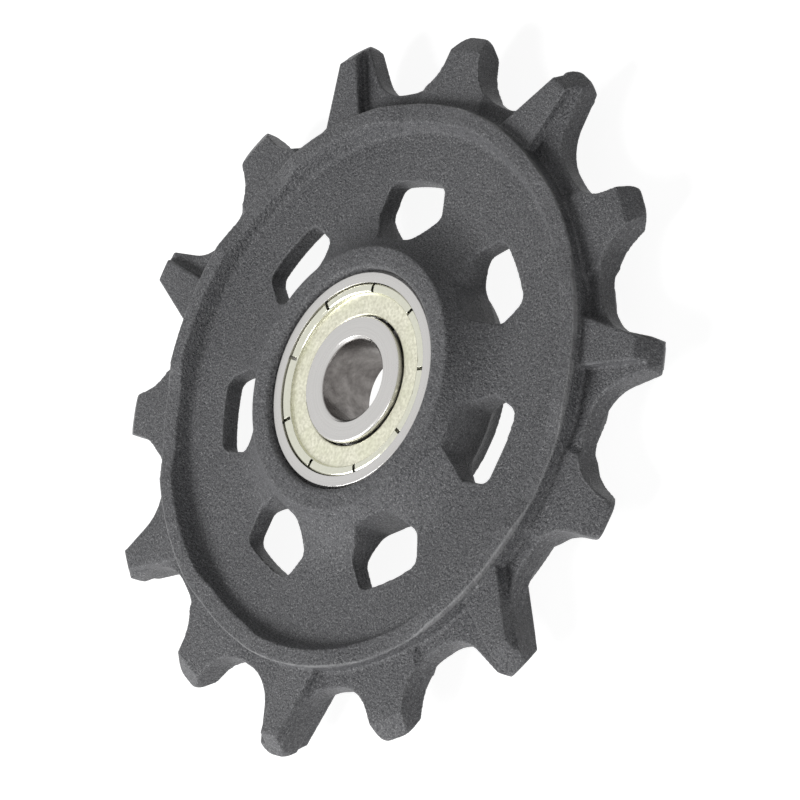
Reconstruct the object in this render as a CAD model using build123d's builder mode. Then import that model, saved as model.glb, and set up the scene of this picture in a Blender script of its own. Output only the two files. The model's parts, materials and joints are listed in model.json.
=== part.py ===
from build123d import *
from math import cos, pi, radians, sin, sqrt, tan
import os

os.makedirs("parts", exist_ok=True)

# The wheel lies flat: +Z is the wheel's axis, pointing out of the face the bearing is pressed in from.
# The origin is on the axis, half way through the teeth, and a tall tooth points along +Y.
tall_tooth_angle = 90.0

# Shielded ball bearing
bearing_bore = 7.0
bearing_outside = 19.0
bearing_width = 6.0
ball_count = 7
ball_to_width = 0.5833
ring_corner = 0.3
bore_corner = 0.25
inner_ring_rounding = 0.22
ball_clearance = 0.03
inner_shoulder_to_ball = 0.6
outer_shoulder_to_ball = 0.63
outer_face_to_section = 0.192

# Shields, pressed from sheet and crimped into the outer ring
shield_sheet = 0.25
shield_recess = 0.5
shield_gap = 0.15
shield_lip_rounding = 0.18
shield_ledge_depth = 0.8
shield_side_clearance = 0.02
curl_width = 0.8
curl_recess = 0.08
curl_rounding = 0.3
curl_slit_count = 9
curl_slit_width = 0.3
curl_slit_angle = 17.1

# Ribbon cage and its rivets
cage_sheet = 0.25
cage_to_gap = 0.56
pocket_clearance = 0.06
rivet_to_land = 0.2
rivet_head_to_land = 0.33
rivet_head_height = 0.22
rivet_clearance = 0.01

# Hub
seat_clearance = 0.01
seat_chamfer = 0.19
hub_front = 3.95
bearing_recess = 0.45
seat_shoulder = 1.0
seat_lip = 0.9
boss_wall = 1.86
flare_radius = 6.0
rear_flare_radius = 3.5

# Web and its windows
web_front = 1.2
web_rear = 0.5
window_from = 0.107
window_to = 0.588
window_belly = 0.42
window_width = 7.36
window_outer_width = 6.34
window_inner_width = 3.72
window_angle_from_tall_tooth = 22.34
window_outer_rounding = 1.0
window_belly_rounding = 0.9
window_inner_rounding = 0.8
window_draft = 3.0

# Rim, with a low place in front of each low tooth
rim_width = 2.2
rim_height = 2.7
rim_drop = 0.45
rim_low_angle = 14.0
rim_ramp_angle = 6.0
rim_inner_draft = 27.0
rim_foot_rounding = 0.45

# Teeth, low and tall in turn
chain_pitch = 12.7
tooth_pairs = 7
root_depth = 2.785
low_tip_height = 2.265
tall_tip_height = 3.265
tooth_width = 4.1
flank_angle = 14.0
valley_ring_width = 1.42
valley_rounding = 0.95
tooth_thickness = 2.4
tooth_face_angle = 17.4
low_face_width = 7.2
low_face_slope = 0.5
valley_drop = 0.3
ledge_drop = 0.25
pad_height = 0.95
pad_foot = 3.5
pad_tip = 0.8
pad_front = 0.7
low_bevel_angle = 38.0
tall_bevel_angle = 49.4
low_tip_land = 0.24
tall_tip_land = 0.3
fusing_overlap = 0.5
pick_tolerance = 0.01

# Radii of the bearing, from its standard size
bearing_radius = bearing_outside / 2
bore_radius = bearing_bore / 2
ball_circle = (bearing_radius + bore_radius) / 2
ball_radius = ball_to_width * bearing_width / 2
groove_radius = ball_radius + ball_clearance
inner_shoulder_radius = ball_circle - inner_shoulder_to_ball * ball_radius
outer_shoulder_radius = ball_circle + outer_shoulder_to_ball * ball_radius
shield_seat_radius = bearing_radius - outer_face_to_section * (bearing_radius - bore_radius)

# Heights along the axis, down from the front of the hub and out from the middle of the teeth
bearing_front = hub_front - bearing_recess
bearing_rear = bearing_front - bearing_width
bearing_middle = (bearing_front + bearing_rear) / 2
hub_rear = bearing_rear - seat_shoulder
rim_low = rim_height - rim_drop
face_half = tooth_thickness / 2
valley_half = face_half - valley_drop
ledge_half = face_half - ledge_drop
pad_half = ledge_half + pad_height

# Radii of the wheel, from the seat outwards and from the chain's pitch inwards
seat_radius = bearing_radius + seat_clearance
lip_radius = bearing_radius - seat_lip
boss_radius = bearing_radius + boss_wall
flare_rise = hub_front - web_front
flare_foot_radius = boss_radius + sqrt(flare_radius ** 2 - (flare_radius - flare_rise) ** 2)
rear_flare_rise = -web_rear - hub_rear
rear_flare_reach = sqrt(rear_flare_radius ** 2 - (rear_flare_radius - rear_flare_rise) ** 2)
rear_flare_foot_radius = boss_radius + rear_flare_reach
tooth_count = 2 * tooth_pairs
pitch_radius = chain_pitch / (2 * sin(pi / tooth_count))
root_radius = pitch_radius - root_depth
low_tip_radius = pitch_radius + low_tip_height
tall_tip_radius = pitch_radius + tall_tip_height
rim_outer_radius = root_radius - valley_ring_width
rim_foot_radius = rim_outer_radius - rim_width
rim_crest_radius = rim_foot_radius + (rim_height - web_front) * tan(radians(rim_inner_draft))
rear_rim_foot_radius = rim_crest_radius - (rim_height - web_rear) * tan(radians(rim_inner_draft))
ring_start_radius = rim_outer_radius - fusing_overlap
web_band = rim_foot_radius - boss_radius
window_inner_radius = boss_radius + window_from * web_band
window_outer_radius = boss_radius + window_to * web_band
window_belly_radius = window_inner_radius + window_belly * (window_outer_radius - window_inner_radius)

# Directions round the axis
pair_angle = 360 / tooth_pairs
low_tooth_angle = tall_tooth_angle - pair_angle / 2
window_angle = tall_tooth_angle - window_angle_from_tall_tooth


def tooth_half_width(radius):
    return tooth_width / 2 + (pitch_radius - radius) * tan(radians(flank_angle))


def tooth_corners(tip_radius):
    foot_half = tooth_half_width(ring_start_radius)
    tip_half = tooth_half_width(tip_radius)
    return (
        (ring_start_radius, -foot_half),
        (tip_radius, -tip_half),
        (tip_radius, tip_half),
        (ring_start_radius, foot_half),
    )


def distance_from_axis(vertex):
    return sqrt(vertex.X ** 2 + vertex.Y ** 2)


def bevel_start_radius(tip_radius, half_thickness, land, angle):
    return tip_radius - (half_thickness - land / 2) / tan(radians(angle))


# Outline of the whole tooth ring: round valleys for the chain's rollers, straight flanks, flat tips
root_half_angle = tooth_half_width(root_radius) / root_radius
valley_half_width = (pi / tooth_count - root_half_angle) * root_radius
root_corner_angle = pi / 2 + radians(flank_angle) + root_half_angle
root_rounding_radius = valley_rounding * valley_half_width * tan(root_corner_angle / 2)

with BuildSketch() as tooth_outline:
    Circle(root_radius)
    with PolarLocations(0, tooth_pairs, start_angle=tall_tooth_angle):
        Polygon(*tooth_corners(tall_tip_radius), align=None)
    with PolarLocations(0, tooth_pairs, start_angle=low_tooth_angle):
        Polygon(*tooth_corners(low_tip_radius), align=None)
    corners = tooth_outline.edges().filter_by(GeomType.LINE).vertices()
    root_corners = corners.filter_by(lambda v: distance_from_axis(v) < pitch_radius)
    fillet(root_corners, root_rounding_radius)
    Circle(ring_start_radius, mode=Mode.SUBTRACT)

# Thin plate in the valleys, kept inside the low teeth's bevels
low_bevel_radius = bevel_start_radius(low_tip_radius, face_half, low_tip_land, low_bevel_angle)

with BuildPart() as valley_plate:
    with BuildSketch():
        Circle(low_bevel_radius)
        add(tooth_outline.sketch, mode=Mode.INTERSECT)
    extrude(amount=valley_half, both=True)

# Low teeth: one flat face each side that slopes off into the valleys, bevelled to a thin tip
ring_end_radius = tall_tip_radius + fusing_overlap
low_face_half = low_face_width / 2

with BuildPart() as low_block:
    with BuildSketch(Plane.YZ.offset(ring_start_radius)):
        Polygon(
            (-low_face_half, face_half),
            (low_face_half, face_half),
            (low_face_half + low_face_slope, valley_half),
            (low_face_half + low_face_slope, -valley_half),
            (low_face_half, -face_half),
            (-low_face_half, -face_half),
            (-low_face_half - low_face_slope, -valley_half),
            (-low_face_half - low_face_slope, valley_half),
            align=None,
        )
    extrude(amount=ring_end_radius - ring_start_radius)

with BuildPart() as low_teeth:
    with PolarLocations(0, tooth_pairs, start_angle=low_tooth_angle):
        add(low_block.part)
    with BuildSketch():
        add(tooth_outline.sketch)
    extrude(amount=face_half, both=True, mode=Mode.INTERSECT)
    with BuildSketch(Plane.XZ):
        Polygon(
            (low_bevel_radius, face_half),
            (low_tip_radius, low_tip_land / 2),
            (ring_end_radius, low_tip_land / 2),
            (ring_end_radius, face_half),
            align=None,
        )
        mirror(about=Plane.XZ)
    revolve(axis=Axis.Z, mode=Mode.SUBTRACT)

# Tall teeth: a low ledge with a raised pad on it that fills a wide chain link, set back from one flank
sector_tan = tan(radians(tooth_face_angle / 2))
sector_corners = (
    (ring_start_radius, -ring_start_radius * sector_tan),
    (ring_end_radius, -ring_end_radius * sector_tan),
    (ring_end_radius, ring_end_radius * sector_tan),
    (ring_start_radius, ring_start_radius * sector_tan),
)
tall_bevel_radius = bevel_start_radius(tall_tip_radius, pad_half, tall_tip_land, tall_bevel_angle)

with BuildPart() as tall_teeth:
    with BuildSketch():
        with PolarLocations(0, tooth_pairs, start_angle=tall_tooth_angle):
            Polygon(*sector_corners, align=None)
        add(tooth_outline.sketch, mode=Mode.INTERSECT)
    extrude(amount=ledge_half, both=True)
    with BuildSketch():
        with PolarLocations(0, tooth_pairs, start_angle=tall_tooth_angle):
            Polygon(
                (ring_start_radius, -pad_front),
                (tall_tip_radius, -pad_front),
                (tall_tip_radius, pad_tip),
                (rim_outer_radius, pad_foot),
                (ring_start_radius, pad_foot),
                align=None,
            )
        add(tooth_outline.sketch, mode=Mode.INTERSECT)
    extrude(amount=pad_half, both=True)
    with BuildSketch(Plane.XZ):
        Polygon(
            (tall_bevel_radius, pad_half),
            (tall_tip_radius, tall_tip_land / 2),
            (ring_end_radius, tall_tip_land / 2),
            (ring_end_radius, pad_half),
            align=None,
        )
        mirror(about=Plane.XZ)
    revolve(axis=Axis.Z, mode=Mode.SUBTRACT)

# Cutter for one low place in the rim: a flat floor with a sloping facet at each end
ramp_run = (rim_crest_radius + rim_outer_radius) / 2 * radians(rim_ramp_angle)
ramp_over = 1.5
floor_reach = 1.2 * rim_outer_radius * sin(radians(rim_low_angle / 2))
ramp_corners = (
    (-floor_reach, rim_low),
    (0, rim_low),
    (ramp_over * ramp_run, rim_low + ramp_over * rim_drop),
    (-floor_reach, rim_low + ramp_over * rim_drop),
)

with BuildPart() as rim_ramp:
    with BuildSketch(Plane.YZ.offset(rim_foot_radius)):
        Polygon(*ramp_corners, align=None)
    extrude(amount=rim_width + fusing_overlap)

with BuildPart() as rim_dip:
    with Locations(Rotation(0, 0, rim_low_angle / 2)):
        add(rim_ramp.part)
    mirror(about=Plane.XZ)
    mirror(about=Plane.XY)

# One window of the web, drawn on the +X side of the axis
with BuildSketch() as window:
    with BuildLine():
        outer_half = window_outer_width / 2
        outer_corner_radius = sqrt(window_outer_radius ** 2 - outer_half ** 2)
        Polyline(
            (outer_corner_radius, outer_half),
            (window_belly_radius, window_width / 2),
            (window_inner_radius, window_inner_width / 2),
            (window_inner_radius, -window_inner_width / 2),
            (window_belly_radius, -window_width / 2),
            (outer_corner_radius, -outer_half),
        )
        ThreePointArc(
            (outer_corner_radius, -outer_half),
            (window_outer_radius, 0),
            (outer_corner_radius, outer_half),
        )
    make_face()
    across = window.vertices().sort_by(Axis.X)
    fillet(across[0:2], window_inner_rounding)
    belly_corners = window.vertices().filter_by(lambda v: abs(v.X - window_belly_radius) < pick_tolerance)
    fillet(belly_corners, window_belly_rounding)
    outer_corners = window.vertices().filter_by(lambda v: abs(v.X - outer_corner_radius) < pick_tolerance)
    fillet(outer_corners, window_outer_rounding)

# Wheel: hub, web, rim and teeth in one moulding
with BuildPart() as wheel:
    with BuildSketch(Plane.XZ) as section:
        with BuildLine():
            Polyline(
                (flare_foot_radius, web_front),
                (rim_foot_radius, web_front),
                (rim_crest_radius, rim_height),
                (rim_outer_radius, rim_height),
                (rim_outer_radius, -rim_height),
                (rim_crest_radius, -rim_height),
                (rear_rim_foot_radius, -web_rear),
                (rear_flare_foot_radius, -web_rear),
            )
            TangentArc((rear_flare_foot_radius, -web_rear), (boss_radius, hub_rear), tangent=(-1, 0))
            Polyline(
                (boss_radius, hub_rear),
                (lip_radius, hub_rear),
                (lip_radius, hub_front),
                (boss_radius, hub_front),
            )
            TangentArc((flare_foot_radius, web_front), (boss_radius, hub_front), tangent=(-1, 0))
        make_face()
        nearest = rear_rim_foot_radius - pick_tolerance
        farthest = rim_foot_radius + pick_tolerance
        fillet(section.vertices().filter_by(lambda v: nearest < v.X < farthest), rim_foot_rounding)
    revolve(axis=Axis.Z)
    with BuildSketch(Plane.XY.offset(bearing_rear)):
        Circle(seat_radius)
    extrude(amount=hub_front - bearing_rear, mode=Mode.SUBTRACT)
    round_edges = wheel.edges().filter_by(GeomType.CIRCLE)
    mouth = round_edges.filter_by(lambda e: abs(e.radius - seat_radius) < pick_tolerance)
    chamfer(mouth.sort_by(Axis.Z)[-1], seat_chamfer)
    with BuildSketch():
        with PolarLocations(0, tooth_pairs, start_angle=window_angle):
            add(window.sketch)
    extrude(amount=max(hub_front, -hub_rear), both=True, taper=-window_draft, mode=Mode.SUBTRACT)
    with PolarLocations(0, tooth_pairs, start_angle=window_angle):
        add(rim_dip.part, mode=Mode.SUBTRACT)
    add(valley_plate.part)
    add(low_teeth.part)
    add(tall_teeth.part)

wheel.part.label = "wheel"
export_step(wheel.part, "parts/wheel.step")

# Outer ring, with a ball groove inside and a ledge at each end for a shield
ledge_front = bearing_front - shield_ledge_depth
ledge_rear = bearing_rear + shield_ledge_depth

with BuildPart() as outer_ring:
    with BuildSketch(Plane.XZ) as outer_section:
        Polygon(
            (bearing_radius, bearing_rear),
            (bearing_radius, bearing_front),
            (shield_seat_radius, bearing_front),
            (shield_seat_radius, ledge_front),
            (outer_shoulder_radius, ledge_front),
            (outer_shoulder_radius, ledge_rear),
            (shield_seat_radius, ledge_rear),
            (shield_seat_radius, bearing_rear),
            align=None,
        )
        rim_corners = outer_section.vertices().filter_by(lambda v: v.X > bearing_radius - pick_tolerance)
        chamfer(rim_corners, ring_corner)
        with Locations((ball_circle, bearing_middle)):
            Circle(groove_radius, mode=Mode.SUBTRACT)
    revolve(axis=Axis.Z)

outer_ring.part.label = "bearing_outer_ring"
export_step(outer_ring.part, "parts/bearing_outer_ring.step")

# Inner ring, bored for the bush that the wheel turns on
with BuildPart() as inner_ring:
    with BuildSketch(Plane.XZ) as inner_section:
        Polygon(
            (bore_radius, bearing_rear),
            (inner_shoulder_radius, bearing_rear),
            (inner_shoulder_radius, bearing_front),
            (bore_radius, bearing_front),
            align=None,
        )
        bore_corners = inner_section.vertices().filter_by(lambda v: v.X < bore_radius + pick_tolerance)
        shoulder_corners = inner_section.vertices().filter_by(lambda v: v.X > bore_radius + pick_tolerance)
        chamfer(bore_corners, bore_corner)
        fillet(shoulder_corners, inner_ring_rounding)
        with Locations((ball_circle, bearing_middle)):
            Circle(groove_radius, mode=Mode.SUBTRACT)
    revolve(axis=Axis.Z)

inner_ring.part.label = "bearing_inner_ring"
export_step(inner_ring.part, "parts/bearing_inner_ring.step")

# Shield: a flat washer whose edge rises, curls over and stands on the ledge, slit all round so it can curl
flat_top = bearing_front - shield_recess
flat_under = flat_top - shield_sheet
curl_top = bearing_front - curl_recess
curl_under = curl_top - shield_sheet
flat_inner_radius = inner_shoulder_radius + shield_gap
curl_outer_radius = shield_seat_radius - shield_side_clearance
curl_inner_radius = curl_outer_radius - curl_width

with BuildPart() as front_shield:
    with BuildSketch(Plane.XZ) as shield_section:
        Polygon(
            (flat_inner_radius, flat_under),
            (curl_inner_radius + shield_sheet / 2, flat_under),
            (curl_inner_radius + shield_sheet, curl_under),
            (curl_outer_radius - shield_sheet, curl_under),
            (curl_outer_radius - shield_sheet, ledge_front),
            (curl_outer_radius, ledge_front),
            (curl_outer_radius, curl_top),
            (curl_inner_radius, curl_top),
            (curl_inner_radius - shield_sheet / 2, flat_top),
            (flat_inner_radius, flat_top),
            align=None,
        )
        curl_corners = shield_section.vertices().filter_by(lambda v: v.Y > curl_top - pick_tolerance)
        fillet(curl_corners, curl_rounding)
        lip_corners = shield_section.vertices().filter_by(lambda v: v.X < flat_inner_radius + pick_tolerance)
        fillet(lip_corners.sort_by(Axis.Y)[-1], shield_lip_rounding)
    revolve(axis=Axis.Z)
    with BuildSketch(Plane.XY.offset(ledge_front)):
        with PolarLocations(curl_inner_radius, curl_slit_count, start_angle=curl_slit_angle):
            Rectangle(2 * curl_width, curl_slit_width, align=(Align.MIN, Align.CENTER))
    extrude(amount=shield_ledge_depth, mode=Mode.SUBTRACT)

front_shield.part.label = "bearing_front_shield"
export_step(front_shield.part, "parts/bearing_front_shield.step")

with BuildPart() as rear_shield:
    mirror(front_shield.part, about=Plane.XY.offset(bearing_middle))

rear_shield.part.label = "bearing_rear_shield"
export_step(rear_shield.part, "parts/bearing_rear_shield.step")

# Balls, each a part of its own
for index in range(ball_count):
    ball_angle = tall_tooth_angle + index * 360 / ball_count
    with BuildPart() as ball:
        with PolarLocations(ball_circle, 1, start_angle=ball_angle):
            with Locations((0, 0, bearing_middle)):
                Sphere(ball_radius)
    ball.part.label = f"bearing_ball_{index + 1}"
    export_step(ball.part, f"parts/bearing_ball_{index + 1}.step")

# Cage: two ribbons with a half pocket for each ball, back to back, riveted between the balls
cage_half_width = cage_to_gap * (outer_shoulder_radius - inner_shoulder_radius) / 2
pocket_radius = ball_radius + pocket_clearance
pocket_land = 2 * (ball_circle * sin(pi / ball_count) - pocket_radius - cage_sheet)
rivet_radius = rivet_to_land * pocket_land
rivet_head_radius = rivet_head_to_land * pocket_land
rivet_angle = tall_tooth_angle + 180 / ball_count

with BuildPart() as front_cage:
    with Locations((0, 0, bearing_middle)):
        with PolarLocations(ball_circle, ball_count, start_angle=tall_tooth_angle):
            Sphere(pocket_radius + cage_sheet)
    with BuildSketch(Plane.XY.offset(bearing_middle)):
        Circle(ball_circle + cage_half_width)
        Circle(ball_circle - cage_half_width, mode=Mode.SUBTRACT)
    extrude(amount=cage_sheet)
    with BuildSketch(Plane.XY.offset(bearing_middle)):
        Circle(ball_circle + cage_half_width)
        Circle(ball_circle - cage_half_width, mode=Mode.SUBTRACT)
    extrude(amount=bearing_width / 2, mode=Mode.INTERSECT)
    with Locations((0, 0, bearing_middle)):
        with PolarLocations(ball_circle, ball_count, start_angle=tall_tooth_angle):
            Sphere(pocket_radius, mode=Mode.SUBTRACT)
        with PolarLocations(ball_circle, ball_count, start_angle=rivet_angle):
            Cylinder(rivet_radius + rivet_clearance, bearing_width, mode=Mode.SUBTRACT)

front_cage.part.label = "bearing_cage_front"
export_step(front_cage.part, "parts/bearing_cage_front.step")

with BuildPart() as rear_cage:
    mirror(front_cage.part, about=Plane.XY.offset(bearing_middle))

rear_cage.part.label = "bearing_cage_rear"
export_step(rear_cage.part, "parts/bearing_cage_rear.step")

# Cage rivets, each a shank with a head at both ends
for index in range(ball_count):
    with BuildPart() as rivet:
        with PolarLocations(ball_circle, 1, start_angle=rivet_angle + index * 360 / ball_count):
            with Locations((0, 0, bearing_middle)):
                Cylinder(rivet_radius, 2 * cage_sheet)
            with Locations((0, 0, bearing_middle + cage_sheet)):
                Cylinder(rivet_head_radius, rivet_head_height, align=(Align.CENTER, Align.CENTER, Align.MIN))
            with Locations((0, 0, bearing_middle - cage_sheet)):
                Cylinder(rivet_head_radius, rivet_head_height, align=(Align.CENTER, Align.CENTER, Align.MAX))
        heads = rivet.edges().filter_by(GeomType.CIRCLE).sort_by(Axis.Z)
        chamfer([heads[0], heads[-1]], rivet_head_height / 2)
    rivet.part.label = f"bearing_rivet_{index + 1}"
    export_step(rivet.part, f"parts/bearing_rivet_{index + 1}.step")
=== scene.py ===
import json
import math

import bmesh
import bpy
from mathutils import Matrix, Vector


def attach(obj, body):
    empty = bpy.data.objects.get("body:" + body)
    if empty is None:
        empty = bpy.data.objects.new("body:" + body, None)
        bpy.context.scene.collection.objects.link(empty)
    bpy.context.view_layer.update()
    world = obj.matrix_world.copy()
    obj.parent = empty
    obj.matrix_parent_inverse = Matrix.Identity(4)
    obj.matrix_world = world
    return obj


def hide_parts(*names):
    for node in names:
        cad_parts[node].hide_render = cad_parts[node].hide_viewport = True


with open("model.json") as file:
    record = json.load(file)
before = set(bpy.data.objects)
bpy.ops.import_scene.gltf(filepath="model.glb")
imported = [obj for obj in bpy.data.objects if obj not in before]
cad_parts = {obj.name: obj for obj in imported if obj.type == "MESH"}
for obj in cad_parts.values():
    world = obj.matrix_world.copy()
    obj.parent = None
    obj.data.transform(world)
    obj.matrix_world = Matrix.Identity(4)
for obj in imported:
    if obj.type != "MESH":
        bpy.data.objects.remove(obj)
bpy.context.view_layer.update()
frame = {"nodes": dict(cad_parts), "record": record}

# Camera, placed from the photo: the axis of the wheel leans this way in the picture
CAMERA_ROLL = math.radians(-19.526)
CAMERA_TILT = math.radians(-47.730)
CAMERA_TURN = math.radians(82.639)
CAMERA_DISTANCE = 0.4006
CAMERA_ASIDE = 0.0041003
CAMERA_ABOVE = -0.0017618
CAMERA_AIM_HEIGHT = 0.0035
CAMERA_LENS = 216.39
SENSOR_WIDTH = 36.0

# Heights and radii of the part in metres
REST_HEIGHT = -0.0035
# Radius and heights of the painted highlight line along the rim's outer edge
RING_EDGE_RADIUS = 0.0243
RING_EDGE_HEIGHTS = (0.0021, 0.0023)
PARTING_HALF = 0.00005
CURL_INNER_RADIUS = 0.0075
BORE_RADIUS = 0.0035


def node_material(name):
    material = bpy.data.materials.new(name)
    material.use_nodes = True
    tree = material.node_tree
    tree.nodes.clear()
    output = tree.nodes.new("ShaderNodeOutputMaterial")
    shader = tree.nodes.new("ShaderNodeBsdfPrincipled")
    tree.links.new(shader.outputs[0], output.inputs["Surface"])
    return material, tree, shader


def add(tree, kind, inputs=None, **settings):
    node = tree.nodes.new(kind)
    for key, value in settings.items():
        setattr(node, key, value)
    for key, value in (inputs or {}).items():
        if isinstance(value, bpy.types.NodeSocket):
            tree.links.new(value, node.inputs[key])
        else:
            node.inputs[key].default_value = value
    return node


def texture_point(tree):
    return add(tree, "ShaderNodeTexCoord").outputs["Object"]


def noise(tree, point, scale, detail=3.0, roughness=0.5):
    inputs = {"Vector": point, "Scale": scale, "Detail": detail, "Roughness": roughness}
    return add(tree, "ShaderNodeTexNoise", inputs)


def remap(tree, value, low, high, to_low, to_high):
    return add(
        tree,
        "ShaderNodeMapRange",
        {"Value": value, "From Min": low, "From Max": high, "To Min": to_low, "To Max": to_high},
    ).outputs[0]


def math_node(tree, operation, a, b=0.0):
    return add(tree, "ShaderNodeMath", {0: a, 1: b}, operation=operation).outputs[0]


def mix_color(tree, factor, a, b):
    node = add(tree, "ShaderNodeMix", {"Factor": factor}, data_type="RGBA")
    for index, value in ((6, a), (7, b)):
        if isinstance(value, bpy.types.NodeSocket):
            tree.links.new(value, node.inputs[index])
        else:
            node.inputs[index].default_value = (*value, 1)
    return node.outputs[2]


def bump(tree, height, strength, distance, normal=None):
    inputs = {"Height": height, "Strength": strength, "Distance": distance}
    if normal is not None:
        inputs["Normal"] = normal
    return add(tree, "ShaderNodeBump", inputs).outputs[0]


def rounded(tree, radius):
    return add(tree, "ShaderNodeBevel", {"Radius": radius}, samples=6).outputs[0]


def distance_from_axis(tree, point):
    """Distance from the wheel's axis, and height along it."""
    split = add(tree, "ShaderNodeSeparateXYZ", {0: point})
    across = math_node(tree, "MULTIPLY", split.outputs[0], split.outputs[0])
    along = math_node(tree, "MULTIPLY", split.outputs[1], split.outputs[1])
    return math_node(tree, "SQRT", math_node(tree, "ADD", across, along)), split.outputs[2]


def edge_wear_and_highlight(tree, radius, low, high):
    """1 on sharp edges and 0 on flats, from how far the rounded normal leans off the true one."""
    lean = add(
        tree,
        "ShaderNodeVectorMath",
        {0: rounded(tree, radius), 1: add(tree, "ShaderNodeNewGeometry").outputs["Normal"]},
        operation="DOT_PRODUCT",
    ).outputs["Value"]
    return remap(tree, lean, high, low, 0.0, 1.0)


def nylon():
    """Dark grey moulded nylon with short fibres: mottled and pitted, with pale specks of grain and fibre that
    are partly painted glints, paler along edges (partly wear, partly a painted highlight), a painted
    highlight line along the rim's outer edge, and a paler parting line.
    """
    material, tree, shader = node_material("wheel_nylon")
    point = texture_point(tree)
    broad = noise(tree, point, 160.0, 4.0).outputs["Fac"]
    cloud = noise(tree, point, 900.0, 3.0).outputs["Fac"]
    fine = noise(tree, point, 4200.0, 3.0, 0.6).outputs["Fac"]
    grain_and_glints = noise(tree, point, 8000.0, 2.0, 0.5).outputs["Fac"]
    # Spots for pale flecks: partly short fibres, partly painted glints.
    fibre_and_glint_cells = add(tree, "ShaderNodeTexVoronoi", {"Vector": point, "Scale": 2300.0, "Randomness": 1.0})
    fibre_and_glint_spots = remap(tree, fibre_and_glint_cells.outputs["Distance"], 0.12, 0.26, 1.0, 0.0)
    lit = math_node(tree, "MULTIPLY", fibre_and_glint_spots, remap(tree, fine, 0.5, 0.62, 0.0, 1.0))
    base = mix_color(tree, remap(tree, broad, 0.3, 0.7, 0.0, 1.0), (0.122, 0.123, 0.13), (0.15, 0.151, 0.158))
    base = mix_color(tree, remap(tree, cloud, 0.35, 0.65, 0.25, 0.0), base, (0.074, 0.075, 0.079))
    color = mix_color(tree, remap(tree, fine, 0.36, 0.56, 0.0, 1.0), (0.05, 0.051, 0.055), base)
    # Pale grain specks: partly the nylon's own grain, partly painted glints.
    color = mix_color(tree, remap(tree, grain_and_glints, 0.54, 0.66, 0.0, 0.65), color, (0.34, 0.34, 0.345))
    # Pale flecks: partly short fibres, partly painted glints where light catches them.
    color = mix_color(tree, math_node(tree, "MULTIPLY", lit, 0.75), color, (0.42, 0.42, 0.425))
    # Paler sharp edges: partly wear, partly a painted edge highlight.
    worn_and_highlit = edge_wear_and_highlight(tree, 0.0004, 0.86, 0.975)
    rubbed_and_highlit = math_node(tree, "MULTIPLY", worn_and_highlit, remap(tree, cloud, 0.3, 0.62, 0.35, 1.0))
    color = mix_color(tree, rubbed_and_highlit, color, (0.34, 0.34, 0.345))
    radius, height = distance_from_axis(tree, point)
    parting = remap(tree, math_node(tree, "ABSOLUTE", height), 0.0, PARTING_HALF, 1.0, 0.0)
    # Painted highlight: a thin pale line along the rim's outer edge, near the top of its height.
    off_edge = math_node(tree, "ABSOLUTE", math_node(tree, "SUBTRACT", radius, RING_EDGE_RADIUS))
    near_edge = remap(tree, off_edge, 0.00004, 0.00014, 1.0, 0.0)
    above = remap(tree, math_node(tree, "ABSOLUTE", height), *RING_EDGE_HEIGHTS, 0.0, 1.0)
    rim_highlight_band = math_node(tree, "MULTIPLY", near_edge, above)
    painted_rim_highlight = math_node(tree, "MULTIPLY", rim_highlight_band, remap(tree, cloud, 0.3, 0.6, 0.3, 0.9))
    color = mix_color(tree, painted_rim_highlight, color, (0.3, 0.3, 0.305))
    color = mix_color(tree, math_node(tree, "MULTIPLY", parting, 0.6), color, (0.2, 0.2, 0.205))
    tree.links.new(color, shader.inputs["Base Color"])
    tree.links.new(remap(tree, fine, 0.3, 0.7, 0.38, 0.55), shader.inputs["Roughness"])
    shader.inputs["Specular IOR Level"].default_value = 0.35
    normal = bump(tree, fine, 1.0, 0.00018)
    normal = bump(tree, grain_and_glints, 0.8, 0.00005, normal)
    normal = bump(tree, parting, 0.4, 0.00003, normal)
    tree.links.new(normal, shader.inputs["Normal"])
    return material


def ring_steel():
    """Ground bearing steel: fine rings from the grinding wheel, polished corners and a darker, streaky bore.
    """
    material, tree, shader = node_material("ring_steel")
    point = texture_point(tree)
    radius, height = distance_from_axis(tree, point)
    turned = add(tree, "ShaderNodeCombineXYZ", {0: radius, 1: 0.0, 2: height}).outputs[0]
    lines = noise(tree, turned, 9000.0, 3.0, 0.6).outputs["Fac"]
    broad = noise(tree, point, 500.0, 2.0).outputs["Fac"]
    color = mix_color(tree, lines, (0.5, 0.49, 0.48), (0.64, 0.63, 0.615))
    streak = remap(tree, noise(tree, point, 700.0, 4.0, 0.65).outputs["Fac"], 0.35, 0.65, 0.0, 1.0)
    # Darker, streaky colour inside the bore.
    dark_streaky_bore = mix_color(tree, streak, (0.13, 0.12, 0.115), (0.27, 0.255, 0.245))
    in_bore = remap(tree, radius, BORE_RADIUS + 0.00003, BORE_RADIUS + 0.0001, 1.0, 0.0)
    color = mix_color(tree, in_bore, color, dark_streaky_bore)
    tree.links.new(color, shader.inputs["Base Color"])
    shader.inputs["Metallic"].default_value = 1.0
    tree.links.new(remap(tree, broad, 0.3, 0.7, 0.24, 0.29), shader.inputs["Roughness"])
    normal = bump(tree, lines, 0.15, 0.00002, rounded(tree, 0.00006))
    tree.links.new(normal, shader.inputs["Normal"])
    return material


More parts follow.
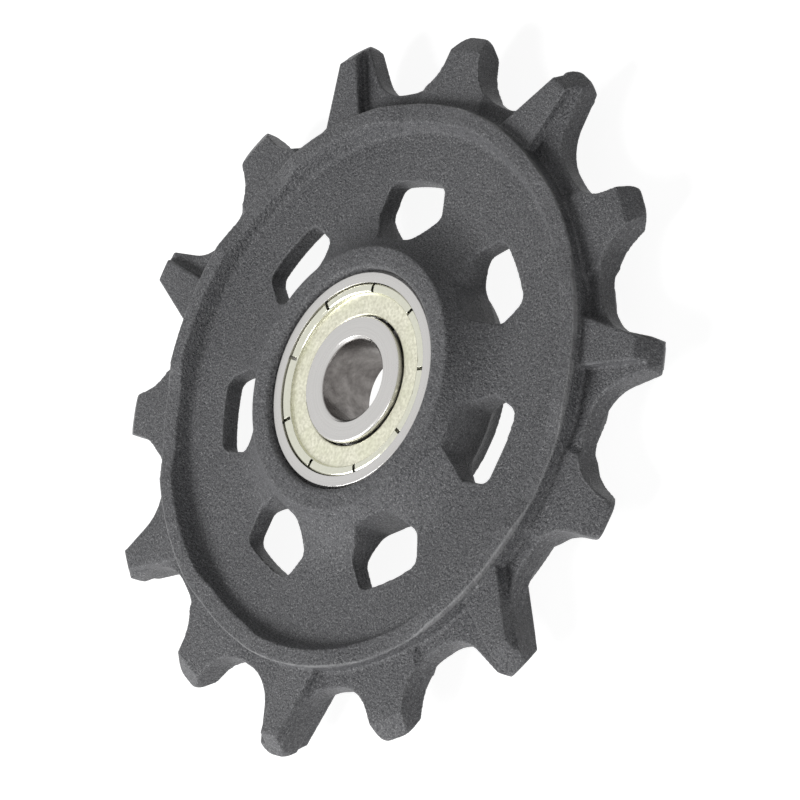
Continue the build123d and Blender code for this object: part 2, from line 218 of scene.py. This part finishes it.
def shield_steel():
    """Plated sheet: a matte, speckled, slightly yellow flat inside a smoother curled edge."""
    material, tree, shader = node_material("shield_steel")
    point = texture_point(tree)
    radius, height = distance_from_axis(tree, point)
    on_curl = remap(tree, radius, CURL_INNER_RADIUS - 0.00015, CURL_INNER_RADIUS, 0.0, 1.0)
    speck = noise(tree, point, 3600.0, 3.0, 0.6).outputs["Fac"]
    broad = noise(tree, point, 420.0, 3.0).outputs["Fac"]
    flat = mix_color(tree, remap(tree, speck, 0.35, 0.65, 0.0, 1.0), (0.56, 0.55, 0.44), (0.76, 0.75, 0.63))
    flat = mix_color(tree, remap(tree, broad, 0.45, 0.65, 0.0, 0.4), flat, (0.62, 0.63, 0.47))
    curl = mix_color(tree, speck, (0.62, 0.62, 0.52), (0.72, 0.72, 0.62))
    tree.links.new(mix_color(tree, on_curl, flat, curl), shader.inputs["Base Color"])
    shader.inputs["Metallic"].default_value = 1.0
    matte = remap(tree, speck, 0.3, 0.7, 0.36, 0.5)
    smooth = remap(tree, speck, 0.3, 0.7, 0.12, 0.2)
    gloss = add(tree, "ShaderNodeMix", {0: on_curl, 2: matte, 3: smooth}, data_type="FLOAT").outputs[0]
    tree.links.new(gloss, shader.inputs["Roughness"])
    normal = bump(tree, speck, 0.3, 0.00003, rounded(tree, 0.00005))
    tree.links.new(normal, shader.inputs["Normal"])
    return material


def polished_steel(name, low, high, roughness):
    """Smooth steel between two colours, a little uneven in its gloss."""
    material, tree, shader = node_material(name)
    point = texture_point(tree)
    speck = noise(tree, point, 2500.0, 3.0).outputs["Fac"]
    tree.links.new(mix_color(tree, speck, low, high), shader.inputs["Base Color"])
    shader.inputs["Metallic"].default_value = 1.0
    tree.links.new(remap(tree, speck, 0.3, 0.7, roughness, roughness + 0.08), shader.inputs["Roughness"])
    tree.links.new(bump(tree, speck, 0.1, 0.00002), shader.inputs["Normal"])
    return material


FINISHES = {
    "wheel_nylon": nylon(),
    "ring_steel": ring_steel(),
    "shield_steel": shield_steel(),
    "ball_steel": polished_steel("ball_steel", (0.6, 0.6, 0.61), (0.7, 0.7, 0.71), 0.08),
    "cage_steel": polished_steel("cage_steel", (0.42, 0.4, 0.36), (0.55, 0.53, 0.49), 0.3),
}

for row in frame["record"]["subparts"]:
    piece = frame["nodes"][row["node"]]
    piece.data.materials.clear()
    piece.data.materials.append(FINISHES[row["material_slot"]])

# Wheel with the rounded edges and tooth tips of a moulding, made over the CAD solid
TOOTH_COUNT = 14
PITCH_RADIUS = 0.0127 / (2 * math.sin(math.pi / TOOTH_COUNT))
TIP_HEIGHTS = (0.003265, 0.002265)
TOOTH_HALF_WIDTH = 0.00205
FLANK_ANGLE = math.radians(14.0)
TIP_ROUNDING = 0.001
ARC_STEPS = 8
WASTE_OUTWARDS = 0.0005
WASTE_SIDEWAYS = 0.0008
WASTE_HALF_HEIGHT = 0.004
MERGE_DISTANCE = 0.000001
VOXEL = 0.00012
SMOOTHING_STEPS = 3
WHEEL_TRIANGLES = 190000


def tip_corner(tip_radius, side):
    """Outline, in the tooth's own plane, of the waste outside one rounded corner of a tip."""
    half = TOOTH_HALF_WIDTH - (tip_radius - PITCH_RADIUS) * math.tan(FLANK_ANGLE)
    centre_x = tip_radius - TIP_ROUNDING
    centre_y = half + TIP_ROUNDING * math.tan(FLANK_ANGLE) - TIP_ROUNDING / math.cos(FLANK_ANGLE)
    outline = [(tip_radius + WASTE_OUTWARDS, centre_y)]
    for step in range(ARC_STEPS + 1):
        turn = (math.pi / 2 - FLANK_ANGLE) * step / ARC_STEPS
        outline.append((centre_x + TIP_ROUNDING * math.cos(turn), centre_y + TIP_ROUNDING * math.sin(turn)))
    far_x, far_y = outline[-1]
    off_flank_x = far_x + WASTE_SIDEWAYS * math.sin(FLANK_ANGLE)
    off_flank_y = far_y + WASTE_SIDEWAYS * math.cos(FLANK_ANGLE)
    outline.append((off_flank_x, off_flank_y))
    outline.append((tip_radius + WASTE_OUTWARDS, half + WASTE_SIDEWAYS))
    return [(x, side * y) for x, y in outline]


def tip_waste():
    """All the corner waste as one mesh of upright prisms."""
    form = bmesh.new()
    for tooth in range(TOOTH_COUNT):
        angle = math.pi / 2 + tooth * 2 * math.pi / TOOTH_COUNT
        tip_radius = PITCH_RADIUS + TIP_HEIGHTS[tooth % 2]
        for side in (-1, 1):
            turned = Matrix.Rotation(angle, 2)
            outline = [turned @ Vector(corner) for corner in tip_corner(tip_radius, side)]
            if side < 0:
                outline.reverse()
            low = [form.verts.new((x, y, -WASTE_HALF_HEIGHT)) for x, y in outline]
            high = [form.verts.new((x, y, WASTE_HALF_HEIGHT)) for x, y in outline]
            count = len(outline)
            form.faces.new(list(reversed(low)))
            form.faces.new(high)
            for index in range(count):
                after = (index + 1) % count
                form.faces.new((low[index], low[after], high[after], high[index]))
    bmesh.ops.recalc_face_normals(form, faces=form.faces)
    mesh = bpy.data.meshes.new("tip_waste")
    form.to_mesh(mesh)
    form.free()
    return mesh


def apply_modifiers(piece):
    """Make the modifiers' result the mesh of the piece."""
    graph = bpy.context.evaluated_depsgraph_get()
    mesh = bpy.data.meshes.new_from_object(piece.evaluated_get(graph))
    piece.modifiers.clear()
    piece.data = mesh


def rounded_wheel():
    """The CAD wheel with its tips cut round and its edges softened, in place of the node."""
    mesh = frame["nodes"]["wheel"].data.copy()
    form = bmesh.new()
    form.from_mesh(mesh)
    bmesh.ops.remove_doubles(form, verts=form.verts, dist=MERGE_DISTANCE)
    form.to_mesh(mesh)
    form.free()
    piece = bpy.data.objects.new("wheel_moulding", mesh)
    bpy.context.scene.collection.objects.link(piece)
    waste = bpy.data.objects.new("tip_waste", tip_waste())
    bpy.context.scene.collection.objects.link(waste)
    cut = piece.modifiers.new("tips", "BOOLEAN")
    cut.operation = "DIFFERENCE"
    cut.object = waste
    cut.solver = "EXACT"
    apply_modifiers(piece)
    bpy.data.objects.remove(waste)
    remesh = piece.modifiers.new("voxels", "REMESH")
    remesh.mode = "VOXEL"
    remesh.voxel_size = VOXEL
    smooth = piece.modifiers.new("rounding", "SMOOTH")
    smooth.factor = 0.5
    smooth.iterations = SMOOTHING_STEPS
    apply_modifiers(piece)
    triangles = sum(len(face.vertices) - 2 for face in piece.data.polygons)
    thin = piece.modifiers.new("thinning", "DECIMATE")
    thin.ratio = min(1.0, WHEEL_TRIANGLES / triangles)
    apply_modifiers(piece)
    piece.data.shade_smooth()
    piece.data.materials.clear()
    piece.data.materials.append(FINISHES["wheel_nylon"])
    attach(piece, "wheel_body")
    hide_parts("wheel")


rounded_wheel()

# Floor and backdrop, seen as plain white; the floor keeps a faint shadow
FLOOR_HALF = 2
FLOOR_GAP = 0.00002
FLOOR_GLOW = 0.92
FLOOR_GREY = 0.4
WORLD_LEVEL = 0.08


def seen_or_mirrored(tree):
    """One for rays from the camera and for those that metal or glass sends on, else zero."""
    path = tree.nodes.new("ShaderNodeLightPath")
    first = math_node(tree, "MAXIMUM", path.outputs["Is Camera Ray"], path.outputs["Is Glossy Ray"])
    return math_node(tree, "MAXIMUM", first, path.outputs["Is Transmission Ray"])


floor_corners = [(x * FLOOR_HALF, y * FLOOR_HALF, 0) for x, y in ((-1, -1), (1, -1), (1, 1), (-1, 1))]
floor_mesh = bpy.data.meshes.new("floor")
floor_mesh.from_pydata(floor_corners, [], [(0, 1, 2, 3)])
floor = bpy.data.objects.new("floor", floor_mesh)
floor.location = (0, 0, REST_HEIGHT - FLOOR_GAP)
bpy.context.scene.collection.objects.link(floor)
floor_material = bpy.data.materials.new("floor_white")
floor_material.use_nodes = True
floor_tree = floor_material.node_tree
floor_tree.nodes.clear()
floor_output = floor_tree.nodes.new("ShaderNodeOutputMaterial")
pale = add(floor_tree, "ShaderNodeBsdfDiffuse", {"Color": (*[FLOOR_GREY] * 3, 1)})
glow = add(floor_tree, "ShaderNodeEmission", {"Color": (1, 1, 1, 1), "Strength": FLOOR_GLOW})
lit = add(floor_tree, "ShaderNodeAddShader", {0: pale.outputs[0], 1: glow.outputs[0]})
floor_ways = {0: seen_or_mirrored(floor_tree), 1: pale.outputs[0], 2: lit.outputs[0]}
either = add(floor_tree, "ShaderNodeMixShader", floor_ways)
floor_tree.links.new(either.outputs[0], floor_output.inputs["Surface"])
floor.data.materials.append(floor_material)

world = bpy.data.worlds.new("studio")
bpy.context.scene.world = world
world.use_nodes = True
sky = world.node_tree
sky.nodes.clear()
sky_output = sky.nodes.new("ShaderNodeOutputWorld")
dim = add(sky, "ShaderNodeBackground", {"Color": (1, 1, 1, 1), "Strength": WORLD_LEVEL})
white = add(sky, "ShaderNodeBackground", {"Color": (1, 1, 1, 1), "Strength": 1.0})
sky_mix = add(sky, "ShaderNodeMixShader", {0: seen_or_mirrored(sky), 1: dim.outputs[0], 2: white.outputs[0]})
sky.links.new(sky_mix.outputs[0], sky_output.inputs["Surface"])

# Camera
roll = Matrix.Rotation(CAMERA_ROLL, 3, "Z")
tilt = Matrix.Rotation(CAMERA_TILT, 3, "Y")
turn = Matrix.Rotation(CAMERA_TURN, 3, "Z")
to_world = (roll @ tilt @ turn).transposed()
camera = bpy.data.objects.new("camera", bpy.data.cameras.new("camera"))
camera.data.lens = CAMERA_LENS
camera.data.sensor_width = SENSOR_WIDTH
camera.data.clip_start = 0.01
camera.matrix_world = Matrix.Translation(
    to_world @ Vector((CAMERA_ASIDE, CAMERA_ABOVE, CAMERA_DISTANCE)) + Vector((0, 0, CAMERA_AIM_HEIGHT))
) @ to_world.to_4x4()
bpy.context.scene.collection.objects.link(camera)
bpy.context.scene.camera = camera


def softbox(name, direction, distance, size, power):
    """A square light, placed by a direction in the picture: right, up and towards the camera."""
    lamp = bpy.data.lights.new(name, "AREA")
    lamp.shape = "SQUARE"
    lamp.size = size
    lamp.energy = power
    holder = bpy.data.objects.new(name, lamp)
    towards = (to_world @ Vector(direction)).normalized()
    holder.location = towards * distance
    holder.rotation_euler = towards.to_track_quat("Z", "Y").to_euler()
    bpy.context.scene.collection.objects.link(holder)


# The key light grazes the faces from the left, and the low one fills from under the lens
softbox("key", (-0.9, -0.4, 0.22), 0.6, 0.3, 3.1)
softbox("low", (0.3, -0.65, 0.7), 0.5, 0.25, 1.3)

bpy.context.scene.view_settings.view_transform = "Standard"
